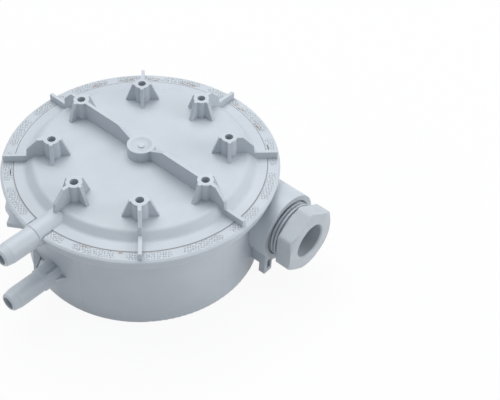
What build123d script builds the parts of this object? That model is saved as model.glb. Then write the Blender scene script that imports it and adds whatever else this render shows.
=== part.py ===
from build123d import *
import os
from math import cos, radians, sin, sqrt

os.makedirs("parts", exist_ok=True)

# Air pressure switch: a round moulded housing that clamps a rolling diaphragm. Pressure on the lid side
# pushes the diaphragm down against a range spring, and a pin under it works a microswitch in the wiring
# space below. Lengths are in millimetres. Z = 0 is the flat underside, the switch's axis is Z, and
# azimuths are in degrees from +X towards +Y.

# Outer form of the housing
body_diameter = 85.0
rim_overhang = 5.0
rim_lip = 0.6
rim_band_height = 3.4
rim_edge_height = 1.4
body_wall = 3.5
base_round = 0.8
step_width = 3.0
lid_rise = 2.7
lid_wall = 2.2
step_head_round = 2.4
step_foot_round = 2.0
rim_width = 3.8
lid_flat_width = 3.8

# Bosses and ribs of the lid
boss_circle = 60.0
boss_count = 8
boss_height = 6.9
boss_radius = 2.75
boss_hole_radius = 1.45
boss_hole_depth = 8.0
rib_thickness = 1.25
fin_top_reach = 0.6
fin_foot_reach = 3.35
inner_fin_foot = 3.15
rib_shoulder_inset = 1.98
rib_slope = 3.9
rib_drop = 3.9
rib_end_gap = 0.3
rib_sink = 0.4
rib_face_lean = 0.4
centre_boss_radius = 4.9
centre_boss_height = 4.15
centre_dish_radius = 3.7
centre_dish_depth = 1.1
centre_nub_radius = 1.0
centre_nub_height = 0.45
inner_rib_azimuths = (135, -45)
inner_rib_run = 5.8
stop_ring_radius = 12.0
stop_ring_width = 1.8

# Pressure nipples
nipple_azimuth = -135
nipple_radius = 3.75
nipple_root_radius = 4.1
nipple_root_reach = 0.3
nipple_root_step = 0.3
nipple_sink = 2.0
nipple_bore_radius = 2.3
nipple_reach = 14.2
nipple_nose = 3.2
nipple_nose_radius = 3.0
nipple_nose_bevel = 0.25
upper_nipple_drop = 1.7
lower_nipple_height = 14.1
lower_nipple_reach = 19.6
riser_wall = 2.1
riser_floor = 1.6
riser_bite = 0.8
gusset_thickness = 1.5
gusset_reaches = (4.4, 6.0)
gusset_spreads = (2.2, 10.0)
gusset_sink = 0.6
gusset_window_length = 4.4
gusset_window_width = 3.2
gusset_window_margin = 0.3
gusset_window_gap = 0.1
flank_rib_width = 0.55
flank_rib_length = 4.6
flank_rib_height = 0.9
flank_rib_sink = 0.4
flank_rib_leans = (1.3, 2.5)

# Stack between the rim and the wiring space, from the top down
lid_flange_thickness = 2.65
flange_seat_gap = 0.05
spigot_depth = 2.2
bead_thickness = 1.2
chamber_depth = 2.0
partition_thickness = 2.2
pocket_wall = 2.0
lid_bevel = 0.9
seam_gap = 0.12
notch_reach = 3.0
notch_rise = 4.0
fit_gap = 0.1
running_gap = 0.05

# Diaphragm, its plates and their travel
bead_width = 2.7
diaphragm_thickness = 0.5
diaphragm_lift = 0.35
convolution_radius = 1.5
convolution_inset = 4.4
plate_inset = 4.7
plate_thickness = 1.0
rivet_radius = 3.0
rivet_gap = 0.02
rivet_head_radius = 6.0
rivet_head_height = 1.0
rivet_pilot_radius = 5.2
rivet_pilot_length = 2.4
stroke = 0.6
stop_gap = 0.1
floor_stop_radius = 16.5
floor_stop_width = 1.6

# Range spring, its keyed seat and the setting dial
well_radius = 9.5
well_wall = 2.5
well_floor = 2.5
spring_mean_radius = 6.1
spring_wire_radius = 0.45
spring_turns = 6.0
seat_thickness = 1.5
seat_nut_radius = 4.6
seat_nut_drop = 1.0
seat_pilot_length = 1.6
seat_clearance = 2.3
key_width = 2.4
key_depth = 1.3
key_count = 2
dial_lift = 3.0
dial_head_gap = 0.8
lead_screw_radius = 3.0
dial_bearing_radius = 4.0
dial_radius = 9.8
dial_thickness = 3.5
dial_gap = 0.15
dial_knurls = 24
dial_knurl_radius = 0.7
dial_slot_width = 1.6
dial_slot_depth = 1.4
clip_groove_depth = 0.7
clip_thickness = 0.7
clip_width = 2.2
clip_opening = 3.6
ring_groove_width = 1.0
ring_groove_depth = 0.9

# Microswitch and its carrier
switch_length = 27.8
switch_width = 10.3
switch_height = 15.9
switch_wall = 1.2
switch_centre_x = -5.5
switch_top_gap = 2.4
button_radius = 1.5
button_rise = 1.2
button_collar_radius = 2.3
button_collar = 1.0
button_travel_share = 0.5
blade_thickness = 0.3
blade_width = 4.0
blade_drop = 6.7
blade_share = 0.71
blade_overrun = 1.6
contact_radius = 1.2
contact_height = 0.5
contact_gap = 0.04
open_contact_gap = 0.14
pivot_width = 0.8
pivot_height = 0.6
button_tip_radius = 0.4
button_tip_height = 0.8
strip_thickness = 0.8
strip_width = 5.0
strip_end = 3.4
open_leg_inset = 3.4
common_leg_inset = 3.2
closed_leg_gap = 0.15
screw_hole_margin = 2.8
carrier_thickness = 3.0
carrier_well_gap = 0.7
carrier_foot_length = 7.0
carrier_foot_thickness = 2.2
carrier_foot_depth = 9.0
carrier_foot_drop = 12.0
pillar_radius = 3.3
tab_wall_gap = 5.0
tab_side_gap = 0.216
tab_screw_share = 0.6125
tab_drop = 0.5
pin_radius = 1.5
pin_flange_radius = 3.4
pin_flange_thickness = 0.5
pin_spigot_radius = 1.2
bush_radius = 3.0
bush_lip_radius = 4.2
bush_lip_height = 0.5

# Screws
terminal_screw_radius = 1.5
terminal_screw_head_radius = 2.8
terminal_screw_head_height = 2.0
terminal_screw_length = 5.0
switch_screw_radius = 1.4
switch_screw_head_radius = 2.6
switch_screw_head_height = 1.6
carrier_screw_radius = 1.4
carrier_screw_head_radius = 2.6
carrier_screw_head_height = 1.6
carrier_screw_bite = 6.0
cover_screw_radius = 1.5
cover_screw_head_radius = 3.0
cover_screw_bite = 7.5
slot_width = 0.8
slot_depth = 0.7

# Bottom cover
cover_thickness = 2.6
cover_lip = 1.5
cover_gap = 0.2
gasket_thickness = 0.6
gasket_inset = 0.2
cover_screw_count = 3
cover_screw_azimuth = 60
cover_pillar_radius = 3.6
cover_pillar_step = 1.0
wiring_clearance = 2.8

# Cable gland
gland_azimuth = -45
gland_side = 22.8
gland_protrusion = 6.0
socket_sink = 12.0
gland_socket_radius = 12.8
gland_thread_radius = 10.22
gland_thread_gap = 0.08
gland_mouth_radius = 10.9
gland_mouth_depth = 0.6
gland_socket_depth = 10.0
cable_hole_radius = 6.2
cable_hole_roof = 0.2
cable_hole_overrun = 4.0
gland_seal_radius = 10.1
gland_seal_bore = 5.6
gland_seal_length = 4.7
gland_washer_thickness = 1.0
gland_washer_radius = 10.1
gland_bore_radius = 6.4
gland_hex_across = 22.0
gland_hex_length = 6.0
gland_hex_chamfer = 0.85
gland_face_margin = 0.15
gland_hex_standoff = 3.95
gland_mouth_chamfer = 0.5
block_half_width = 9.1
block_bottom = 6.2
block_inset = 2.0
lug_thickness = 2.6
lug_width = 3.9
lug_leg = 1.5
lug_recess_width = 1.8
lug_recess_depth = 1.4
lug_recess_rise = 1.5
lug_floor = 1.8
lug_bottom = 1.9

# Lug on the wall opposite the +X boss
side_lug_azimuth = 180
side_lug_reach = 6.5
side_lug_shoulder = 5.1
side_lug_notch = 0.6
side_lug_sink = 2.0
side_lug_tip = 2.7
side_lug_neck = 6.4
side_lug_half_width = 10.6
side_lug_root = 11.9
side_lug_low = 15.8
side_lug_thickness = 1.8

# Levels worked out from the stack, from the base up
ledge_z = cover_thickness + gasket_thickness
terminal_screw_z = cover_thickness + wiring_clearance
tab_z = terminal_screw_z + terminal_screw_head_height
case_z = tab_z + strip_thickness + tab_drop
case_top_z = case_z + switch_height
partition_z = case_top_z + switch_top_gap
floor_z = partition_z + partition_thickness
bead_z = floor_z + chamber_depth
spigot_z = bead_z + bead_thickness
flange_seat_z = spigot_z + spigot_depth
rim_z = flange_seat_z + flange_seat_gap + lid_flange_thickness
plateau_z = rim_z + lid_rise
boss_top_z = plateau_z + boss_height
dial_z = cover_thickness + wiring_clearance + dial_head_gap
well_floor_z = dial_z + dial_thickness + dial_gap
well_z = well_floor_z + well_floor

# Radii worked out from the outer form
body_radius = body_diameter / 2
gland_end = body_radius + gland_protrusion
rim_radius = body_radius + rim_overhang
space_radius = body_radius - body_wall
pocket_radius = body_radius - pocket_wall
bead_outer = pocket_radius - running_gap
bead_inner = bead_outer - bead_width
flange_radius = rim_radius - rim_width - seam_gap
flange_foot_radius = flange_radius + lid_bevel
step_foot_radius = flange_radius - lid_flat_width
step_head_radius = step_foot_radius - step_width
plate_radius = bead_inner - plate_inset - convolution_inset
convolution_centre = bead_inner - convolution_inset
cover_seat_radius = body_radius - cover_lip
cover_radius = cover_seat_radius - cover_gap
riser_radius = space_radius - nipple_bore_radius - riser_wall + riser_bite

# How far fused shapes run into each other, and how far a cut runs past its face
lap = 0.2
past = 1.0


def disc(radius, low, high):
    """Upright cylinder on the switch's axis between two levels."""
    return Pos(0, 0, low) * Cylinder(radius, high - low, align=(Align.CENTER, Align.CENTER, Align.MIN))


def ring(outer, inner, low, high):
    """Upright tube on the switch's axis between two levels."""
    return disc(outer, low, high) - disc(inner, low, high)


def block(xs, ys, zs):
    """Box between two ends along each axis."""
    size = [high - low for low, high in (xs, ys, zs)]
    centre = [(high + low) / 2 for low, high in (xs, ys, zs)]
    return Pos(*centre) * Box(*size)


def turned(points, rounds=()):
    """Solid of revolution about Z from (radius, level) points, with chosen corners rounded."""
    outline = make_face(Polyline(*points, close=True))
    for corner, radius in rounds:
        vertex = outline.vertices().sort_by_distance((corner[0], corner[1], 0))[0]
        outline = fillet(vertex, radius)
    return revolve(Plane.XZ * outline, axis=Axis.Z)


def station(azimuth, side=0.0, height=0.0):
    """Frame whose X runs outwards at an azimuth, moved sideways along its Y, at a level."""
    turn = radians(azimuth)
    origin = (-sin(turn) * side, cos(turn) * side, height)
    return Plane(origin=origin, x_dir=(cos(turn), sin(turn), 0), z_dir=(0, 0, 1))


def rod(radius, start, end):
    """Cylinder along X between two stations."""
    bar = Cylinder(radius, end - start, align=(Align.CENTER, Align.CENTER, Align.MIN))
    return Pos(start, 0, 0) * Rot(0, 90, 0) * bar


def turned_rod(points):
    """Solid of revolution about X from (station, radius) points."""
    outline = make_face(Polyline(*points, close=True))
    return revolve(outline, axis=Axis.X)


def upright_plate(points, thickness):
    """Plate of a given thickness in the XZ plane, centred on it, from (x, z) points."""
    return extrude(Plane.XZ * make_face(Polyline(*points, close=True)), thickness / 2, both=True)


def flat_plate(points, low, high):
    """Plate from (x, y) points between two levels."""
    return extrude(Pos(0, 0, low) * make_face(Polyline(*points, close=True)), high - low)


def nipple(start, root_end, straight_end, tip):
    """Hose nipple along X: thicker root, straight barrel, tapered nose."""
    return turned_rod([
        (start, 0), (start, nipple_root_radius), (root_end, nipple_root_radius),
        (root_end + nipple_root_step, nipple_radius), (straight_end, nipple_radius),
        (tip - 2 * nipple_nose_bevel, nipple_nose_radius + nipple_nose_bevel),
        (tip, nipple_nose_radius - nipple_nose_bevel), (tip, 0),
    ])


# Lid: one moulding. The bevelled flange is held by the rim of the body, and the spigot clamps the bead.
boss_ring_radius = boss_circle / 2
ceiling_z = plateau_z - lid_wall
spigot_inner = bead_inner
upper_nipple_z = rim_z - upper_nipple_drop
upper_tip = rim_radius + nipple_reach
rib_end = rim_radius - rib_end_gap
lid = turned(
    [
        (0, ceiling_z), (step_head_radius - lid_wall, ceiling_z), (spigot_inner, flange_seat_z + 0.6),
        (spigot_inner, spigot_z), (bead_outer, spigot_z), (bead_outer, flange_seat_z + flange_seat_gap),
        (flange_foot_radius, flange_seat_z + flange_seat_gap), (flange_radius, rim_z),
        (step_foot_radius, rim_z), (step_head_radius, plateau_z), (0, plateau_z),
    ],
    rounds=(((step_head_radius, plateau_z), step_head_round),
            ((step_foot_radius, rim_z), step_foot_round)),
)
lid += ring(stop_ring_radius, stop_ring_radius - stop_ring_width,
            bead_z + diaphragm_lift + diaphragm_thickness + plate_thickness + stop_gap, ceiling_z + lap)


def boss():
    """Screw boss with one inward and two sideways fins, at the origin, outwards along +X."""
    foot = plateau_z - rib_sink
    body_of_boss = disc(boss_radius, foot, boss_top_z)
    top = boss_radius + fin_top_reach
    side = boss_radius + fin_foot_reach
    inward = boss_radius + inner_fin_foot
    fins = upright_plate([(-side, foot), (side, foot), (side, plateau_z), (top, boss_top_z),
                          (-top, boss_top_z), (-side, plateau_z)], rib_thickness)
    fin_in = upright_plate([(0, foot), (-inward, foot), (-inward, plateau_z), (-top, boss_top_z),
                            (0, boss_top_z)], rib_thickness)
    return body_of_boss + Rot(0, 0, 90) * fins + fin_in


def outer_rib(end):
    """Rib from a boss outwards: flat, sloping down over the step, then low and flat to the rim."""
    shoulder = step_head_radius - rib_shoulder_inset
    slope_end = shoulder + rib_slope
    face = slope_end + rib_face_lean
    foot = plateau_z - rib_sink
    points = [(boss_ring_radius, foot), (boss_ring_radius, boss_top_z), (shoulder, boss_top_z),
              (slope_end, boss_top_z - rib_drop), (face, plateau_z)]
    if end > face:
        points += [(end, plateau_z), (end, rim_z), (step_foot_radius, rim_z), (step_head_radius, foot)]
    else:
        points += [(face, rim_z), (step_foot_radius - 0.5, rim_z - 0.3), (step_head_radius, foot)]
    return upright_plate(points, rib_thickness)


boss_step = 360 / boss_count
for index in range(boss_count):
    azimuth = index * boss_step
    spoke = station(azimuth)
    on_nipple = abs((azimuth - nipple_azimuth) % 360) < boss_step / 2
    lid += spoke * Pos(boss_ring_radius, 0, 0) * boss()
    lid += spoke * outer_rib(0 if on_nipple else rib_end)

rib_inner_end = centre_boss_radius - 0.5
rib_foot = plateau_z - rib_sink
centre_top_z = plateau_z + centre_boss_height
inner_rib = [
    (boss_ring_radius, rib_foot), (boss_ring_radius, boss_top_z),
    (centre_boss_radius + inner_rib_run, boss_top_z),
    (centre_boss_radius, centre_top_z), (rib_inner_end, centre_top_z), (rib_inner_end, rib_foot),
]
for azimuth in inner_rib_azimuths:
    lid += station(azimuth) * upright_plate(inner_rib, rib_thickness)

lid += disc(centre_boss_radius, rib_foot, centre_top_z)
dish_floor_z = centre_top_z - centre_dish_depth
dish_sphere = (centre_dish_radius ** 2 + centre_dish_depth ** 2) / (2 * centre_dish_depth)
lid -= Pos(0, 0, dish_floor_z + dish_sphere) * Sphere(dish_sphere)
lid += disc(centre_nub_radius, dish_floor_z - lap, dish_floor_z + centre_nub_height)
for index in range(boss_count):
    spot = station(index * boss_step) * Pos(boss_ring_radius, 0, 0)
    lid -= spot * disc(boss_hole_radius, boss_top_z - boss_hole_depth, boss_top_z + past)

nipple_frame = station(nipple_azimuth, 0, upper_nipple_z)
upper_root_end = rim_radius + rim_lip + nipple_root_reach
barrel = nipple(step_head_radius + 0.9, upper_root_end, upper_tip - nipple_nose, upper_tip)
seam_side = nipple_root_radius + past
inside_seam = block((0, pocket_radius), (-seam_side, seam_side), (-seam_side, spigot_z - upper_nipple_z))
lid += nipple_frame * (barrel - inside_seam)
lid -= nipple_frame * rod(nipple_bore_radius, step_head_radius - lid_wall - 0.6, upper_tip + past)

# Body: one moulding with the hot-formed rim, the partition, the spring well and the gland socket.
band_low_z = rim_z - rim_edge_height - rim_band_height
band_high_z = rim_z - rim_edge_height
band_radius = rim_radius - 0.5
body = turned(
    [
        (0, 0), (body_radius, 0), (body_radius, band_low_z), (band_radius, band_low_z + 0.3),
        (band_radius, band_high_z), (rim_radius + rim_lip, band_high_z + lap),
        (rim_radius + rim_lip, rim_z - 0.5), (rim_radius - 0.2, rim_z), (0, rim_z),
    ],
    rounds=(((body_radius, 0), base_round), ((rim_radius - 0.2, rim_z), 0.6)),
)

# Gland socket and the block under it, before the inside is cut.
gland_z = partition_z - cable_hole_radius - cable_hole_roof
gland_frame = station(gland_azimuth, gland_side, gland_z)
socket_root = sqrt(max(body_radius ** 2 - gland_side ** 2, 0)) - socket_sink
body += gland_frame * rod(gland_socket_radius, socket_root, gland_end)
block_front = gland_end - block_inset
body += gland_frame * block((socket_root, block_front), (-block_half_width, block_half_width),
                            (block_bottom - gland_z, 0))
lug_side = (-block_half_width, -block_half_width + lug_width)
body += gland_frame * block((block_front - lug_thickness, block_front), lug_side, (lug_bottom - gland_z, 0))
recess_side = (lug_side[0] + lug_leg, lug_side[0] + lug_leg + lug_recess_width)
body -= gland_frame * block((block_front - lug_recess_depth, block_front + past), recess_side,
                            (lug_bottom + lug_floor - gland_z, block_bottom + lug_recess_rise - gland_z))

# Lower nipple with its gussets and flank ribs, and the lug on the far wall.
lower_tip = body_radius + lower_nipple_reach
low_frame = station(nipple_azimuth, 0, lower_nipple_height)
lower_root_end = body_radius + max(gusset_reaches) + nipple_root_reach
body += low_frame * nipple(body_radius - nipple_sink, lower_root_end, lower_tip - nipple_nose, lower_tip)
for hand, reach, spread in zip((1, -1), gusset_reaches, gusset_spreads):
    outer_y = nipple_radius + spread
    inner_y = nipple_radius - gusset_sink
    wall_x = sqrt(body_radius ** 2 - outer_y ** 2)
    body += low_frame * flat_plate(
        [(wall_x - gusset_thickness, hand * outer_y), (wall_x, hand * outer_y),
         (body_radius + reach, hand * inner_y), (body_radius - nipple_sink, hand * inner_y)],
        -gusset_thickness / 2, gusset_thickness / 2)
window_near = nipple_root_radius + gusset_window_margin
window_far = window_near + gusset_window_width
near_x = sqrt(body_radius ** 2 - window_near ** 2) + gusset_window_gap
far_x = sqrt(body_radius ** 2 - window_far ** 2) + gusset_window_gap
body -= low_frame * flat_plate([(near_x, -window_near), (near_x + gusset_window_length, -window_near),
                                (far_x, -window_far)], -gusset_thickness, gusset_thickness)
for lean in flank_rib_leans:
    low = sqrt(nipple_root_radius ** 2 - lean ** 2) - flank_rib_sink
    body += low_frame * block((body_radius - past, body_radius + flank_rib_length),
                              (lean - flank_rib_width / 2, lean + flank_rib_width / 2),
                              (low, low + flank_rib_height))
side_frame = station(side_lug_azimuth)
shoulder_x = body_radius + side_lug_shoulder
half = [(body_radius - side_lug_sink, side_lug_root), (body_radius - side_lug_notch, side_lug_root),
        (shoulder_x, side_lug_half_width), (shoulder_x - side_lug_notch, side_lug_neck),
        (body_radius + side_lug_reach, side_lug_tip)]
body += side_frame * flat_plate(half + [(x, -y) for x, y in reversed(half)], side_lug_low,
                                side_lug_low + side_lug_thickness)

# Inside of the body, from the top down.
pocket_slope = flange_foot_radius + seam_gap
pocket_mouth = flange_radius + seam_gap
body -= turned([(0, rim_z + past), (pocket_mouth - 0.3, rim_z + past), (pocket_mouth, rim_z),
                (pocket_slope, flange_seat_z), (0, flange_seat_z)])
body -= disc(pocket_radius, bead_z, flange_seat_z + 0.1)
chamber_radius = bead_inner - 0.2
body -= disc(chamber_radius, floor_z, bead_z + 0.1)
body += ring(floor_stop_radius, floor_stop_radius - floor_stop_width, floor_z - 0.2,
             bead_z + diaphragm_lift - plate_thickness - stroke - running_gap)
well_outer = well_radius + well_wall
body -= disc(space_radius, ledge_z, partition_z) - disc(well_outer, well_floor_z, partition_z)
body -= disc(cover_seat_radius, -1, ledge_z)
body -= disc(well_radius, well_z, floor_z + 0.1)
body -= disc(dial_bearing_radius + running_gap, well_floor_z - past, well_z + past)
keyway_side = key_width / 2 + fit_gap
for index in range(key_count):
    body -= Rot(0, 0, index * 360 / key_count) * block(
        (well_radius - 0.5, well_radius + key_depth + fit_gap), (-keyway_side, keyway_side),
        (well_z, floor_z + 0.1))

# Notch of the rim for the lid's nipple.
notch_radius = nipple_root_radius + fit_gap
notch_run = (pocket_radius - 0.5, rim_radius + notch_reach)
notch = rod(notch_radius, *notch_run)
notch += block(notch_run, (-notch_radius, notch_radius), (0, nipple_root_radius + notch_rise))
body -= nipple_frame * notch

# Riser that leads the lower nipple's air up to the chamber under the diaphragm.
riser_spot = station(nipple_azimuth) * Pos(riser_radius, 0, 0)
riser_low = lower_nipple_height - nipple_bore_radius - riser_floor
body += riser_spot * disc(nipple_bore_radius + riser_wall, riser_low, partition_z + lap)
body -= riser_spot * disc(nipple_bore_radius, riser_low + riser_floor, floor_z + 0.1)
body -= low_frame * rod(nipple_bore_radius, riser_radius, lower_tip + past)

# Gland socket bore, its mouth and the cable hole.
gland_bore = gland_thread_radius + gland_thread_gap
gland_seat = gland_end - gland_socket_depth
body -= gland_frame * rod(gland_bore, gland_seat, gland_end + past)
body -= gland_frame * turned_rod([
    (gland_end - gland_mouth_depth, 0), (gland_end - gland_mouth_depth, gland_bore),
    (gland_end, gland_mouth_radius), (gland_end + past, gland_mouth_radius), (gland_end + past, 0)])
cable_end = sqrt(max(space_radius ** 2 - (gland_side + cable_hole_radius) ** 2, 0)) - cable_hole_overrun
body -= gland_frame * rod(cable_hole_radius, cable_end, gland_seat + 0.1)

# Microswitch position: beside the spring well, its button under the pin.
carrier_y = well_outer + carrier_well_gap
switch_y = carrier_y + carrier_thickness
switch_y_end = switch_y + switch_width
switch_mid_y = (switch_y + switch_y_end) / 2
switch_x = switch_centre_x - switch_length / 2
switch_x_end = switch_x + switch_length
pivot_x = switch_x + switch_wall + strip_end
blade_tip_x = pivot_x + (switch_length - 2 * switch_wall) * blade_share
button_x = pivot_x + (blade_tip_x - pivot_x) * button_travel_share
pin_spot = Pos(button_x, switch_mid_y, 0)
foot_z = partition_z - carrier_foot_drop
foot_low_z = foot_z - carrier_foot_thickness
left_foot_x = switch_x - carrier_foot_length
right_foot_x = switch_x_end + carrier_foot_length
foot_mid_y = carrier_y + carrier_foot_depth / 2
pillar_spots = [Pos((left_foot_x + switch_x) / 2, foot_mid_y, 0),
                Pos((switch_x_end + right_foot_x) / 2, foot_mid_y, 0)]
pin_low_z = case_top_z + button_rise
for spot in pillar_spots:
    body += spot * disc(pillar_radius, foot_z, partition_z + lap)
    body -= spot * disc(carrier_screw_radius, foot_z - past, foot_z + carrier_screw_bite)
body -= pin_spot * disc(bush_radius, partition_z - past, floor_z + past)

# Pillars for the screws of the bottom cover.
cover_pillar_reach = space_radius - cover_pillar_radius + 0.8
cover_spots = [station(cover_screw_azimuth + index * 360 / cover_screw_count) * Pos(cover_pillar_reach, 0, 0)
               for index in range(cover_screw_count)]
for spot in cover_spots:
    post = disc(cover_pillar_radius, ledge_z + cover_pillar_step, partition_z + lap)
    post += disc(cover_pillar_radius - cover_pillar_step, cover_thickness, ledge_z + cover_pillar_step + 0.1)
    body += spot * post
    body -= spot * disc(cover_screw_radius, 0, cover_thickness + cover_screw_bite)

# Diaphragm: bead at the edge, one convolution, flat middle with a hole for the rivet.
web_low = bead_z + diaphragm_lift
web_high = web_low + diaphragm_thickness
web_mid = (web_low + web_high) / 2
roll_in = convolution_radius - diaphragm_thickness / 2
roll_out = convolution_radius + diaphragm_thickness / 2
roll_at = convolution_centre
edge = [
    Line((rivet_radius, web_low), (roll_at - roll_out, web_low)),
    ThreePointArc((roll_at - roll_out, web_low), (roll_at, web_mid - roll_out),
                  (roll_at + roll_out, web_low)),
    Polyline((roll_at + roll_out, web_low), (bead_inner, web_low), (bead_inner, bead_z),
             (bead_outer, bead_z), (bead_outer, spigot_z), (bead_inner, spigot_z),
             (bead_inner, web_high), (roll_at + roll_in, web_high)),
    ThreePointArc((roll_at + roll_in, web_high), (roll_at, web_mid - roll_in),
                  (roll_at - roll_in, web_high)),
    Polyline((roll_at - roll_in, web_high), (rivet_radius, web_high), (rivet_radius, web_low)),
]
diaphragm = revolve(Plane.XZ * make_face(Curve() + edge), axis=Axis.Z)

# Plates, rivet and pin: they move together with the middle of the diaphragm.
upper_plate = ring(plate_radius, rivet_radius + rivet_gap, web_high, web_high + plate_thickness)
lower_plate_z = web_low - plate_thickness
lower_plate = ring(plate_radius, rivet_radius + rivet_gap, lower_plate_z, web_low)
lower_plate -= pin_spot * disc(pin_spigot_radius, lower_plate_z - past, web_low + past)
rivet_top = web_high + plate_thickness
centre_rivet = disc(rivet_head_radius, rivet_top, rivet_top + rivet_head_height)
centre_rivet += disc(rivet_radius, lower_plate_z - 0.1, rivet_top + 0.1)
centre_rivet += disc(rivet_pilot_radius, lower_plate_z - rivet_pilot_length, lower_plate_z)
pin_flange_z = lower_plate_z - pin_flange_thickness
switch_pin = disc(pin_radius, pin_low_z, pin_flange_z + 0.1)
switch_pin += disc(pin_flange_radius, pin_flange_z, lower_plate_z)
switch_pin += disc(pin_spigot_radius, lower_plate_z - 0.1, web_low)
switch_pin = pin_spot * switch_pin

# Bush that seals the pin where it passes the partition.
pin_bush = ring(bush_radius, pin_radius + running_gap, partition_z - 0.1, floor_z)
pin_bush += ring(bush_lip_radius, pin_radius + running_gap, partition_z - bush_lip_height, partition_z)
pin_bush = pin_spot * pin_bush

# Keyed seat nut on the dial's lead screw.
seat_low_z = well_z + clip_thickness + seat_clearance
seat_top_z = seat_low_z + seat_thickness
spring_seat = disc(well_radius - fit_gap, seat_low_z, seat_top_z)
spring_seat += disc(seat_nut_radius, seat_low_z - seat_nut_drop, seat_top_z + seat_pilot_length)
for index in range(key_count):
    spring_seat += Rot(0, 0, index * 360 / key_count) * block(
        (well_radius - 1.0, well_radius + key_depth), (-key_width / 2, key_width / 2),
        (seat_low_z, seat_top_z))
spring_seat -= disc(lead_screw_radius + running_gap, seat_low_z - 2, seat_top_z + seat_pilot_length + past)

# Range spring with ground ends, between the seat and the lower plate.
spring_length = lower_plate_z - seat_top_z
coil_rise = spring_length + spring_wire_radius
coil_path = Helix(pitch=coil_rise / spring_turns, height=coil_rise, radius=spring_mean_radius)
coil_section = Plane(origin=coil_path @ 0, z_dir=coil_path % 0) * Circle(spring_wire_radius)
coil = Pos(0, 0, seat_top_z - spring_wire_radius / 2) * sweep(coil_section, coil_path, is_frenet=True)
range_spring = coil & disc(well_radius, seat_top_z, lower_plate_z)

# Setting dial: knurled slotted head, bearing journal, lead screw.
journal_top = well_z + clip_thickness + dial_gap + 0.8
setting_dial = disc(dial_radius, dial_z, dial_z + dial_thickness)
for index in range(dial_knurls):
    setting_dial -= Rot(0, 0, index * 360 / dial_knurls) * Pos(dial_radius + 0.15, 0, 0) * disc(
        dial_knurl_radius, dial_z - past, dial_z + dial_thickness + past)
setting_dial -= block((-dial_radius * 0.6, dial_radius * 0.6), (-dial_slot_width / 2, dial_slot_width / 2),
                      (dial_z - past, dial_z + dial_slot_depth))
setting_dial += disc(dial_bearing_radius, dial_z + dial_thickness - 0.1, journal_top)
screw_top = seat_top_z + seat_pilot_length + dial_lift
setting_dial += disc(lead_screw_radius, journal_top - 0.1, screw_top)
clip_low = well_z + running_gap
groove_inner = dial_bearing_radius - clip_groove_depth
setting_dial -= ring(dial_bearing_radius + past, groove_inner, clip_low,
                     clip_low + clip_thickness + running_gap)
ring_low = well_floor_z + (well_floor - ring_groove_width) / 2
ring_inner = dial_bearing_radius - ring_groove_depth
setting_dial -= ring(dial_bearing_radius + past, ring_inner, ring_low, ring_low + ring_groove_width)

# Retaining clip above the well's floor and O-ring within it.
clip_outer = groove_inner + clip_width
dial_clip = ring(clip_outer, groove_inner + 0.02, clip_low, clip_low + clip_thickness)
dial_clip -= block((0, clip_outer + past), (-clip_opening / 2, clip_opening / 2),
                   (clip_low - past, clip_low + 2))
cord_radius = ring_groove_depth / 2
dial_o_ring = Pos(0, 0, ring_low + ring_groove_width / 2) * Torus(ring_inner + cord_radius, cord_radius)

# Microswitch case, open on its +Y side, with a cover let into the opening.
case_hole_low = (switch_x + screw_hole_margin, case_z + screw_hole_margin)
case_hole_high = (switch_x_end - screw_hole_margin, case_top_z - screw_hole_margin)
case_holes = (case_hole_low, case_hole_high)
cover_y = switch_y_end - switch_wall


def cross_hole(radius, spot, start, end):
    """Cylinder along Y at an (x, z) spot."""
    length = end - start
    bar = Cylinder(radius, length, align=(Align.CENTER, Align.CENTER, Align.MIN))
    return Pos(spot[0], end, spot[1]) * Rot(90, 0, 0) * bar


switch_case = block((switch_x, switch_x_end), (switch_y, cover_y), (case_z, case_top_z))
switch_case -= block((switch_x + switch_wall, switch_x_end - switch_wall),
                     (switch_y + switch_wall, cover_y + past),
                     (case_z + switch_wall, case_top_z - switch_wall))
case_boss_radius = switch_screw_radius + 0.8
for spot in case_holes:
    switch_case += cross_hole(case_boss_radius, spot, switch_y + 0.5, cover_y)
    switch_case -= cross_hole(switch_screw_radius + running_gap, spot, switch_y - past, cover_y + past)
button_hole = disc(button_radius + running_gap, case_top_z - switch_wall - past, case_top_z + past)
switch_case -= pin_spot * button_hole
switch_cover = block((switch_x, switch_x_end), (cover_y, switch_y_end), (case_z, case_top_z))
for spot in case_holes:
    switch_cover -= cross_hole(switch_screw_radius + running_gap, spot, cover_y - past, switch_y_end + past)

# Moving pieces of the microswitch: button on a blade that pivots on the common strip.
blade_z = case_top_z - blade_drop
blade_top_z = blade_z + blade_thickness
button_low_z = blade_top_z + contact_gap
collar_high = case_top_z - switch_wall - running_gap
button_neck_z = button_low_z + button_tip_height
plunger = turned([(0, button_low_z), (button_tip_radius, button_low_z), (button_radius, button_neck_z),
                  (button_radius, pin_low_z), (0, pin_low_z)])
plunger += disc(button_collar_radius, collar_high - button_collar, collar_high)
switch_button = pin_spot * plunger
blade_y = (switch_mid_y - blade_width / 2, switch_mid_y + blade_width / 2)
snap_blade = block((pivot_x - pivot_width, blade_tip_x + blade_overrun), blade_y, (blade_z, blade_top_z))
tip_spot = Pos(blade_tip_x, switch_mid_y, 0)
snap_blade += tip_spot * disc(contact_radius, blade_z - contact_height, blade_top_z + contact_height)
tip_travel = stroke / button_travel_share

# Fixed strips: common under the pivot, closed contact above the tip, open contact below it.
strip_y = (switch_mid_y - strip_width / 2, switch_mid_y + strip_width / 2)
leg_low = tab_z
tab_y_end = space_radius - tab_wall_gap
tab_screw_y = switch_y_end + (tab_y_end - switch_y_end) * tab_screw_share
common_leg_x = pivot_x + common_leg_inset
open_leg_x = blade_tip_x - open_leg_inset
closed_leg_x = switch_x_end - switch_wall - closed_leg_gap - strip_thickness
tab_width = closed_leg_x - open_leg_x - tab_side_gap


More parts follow.
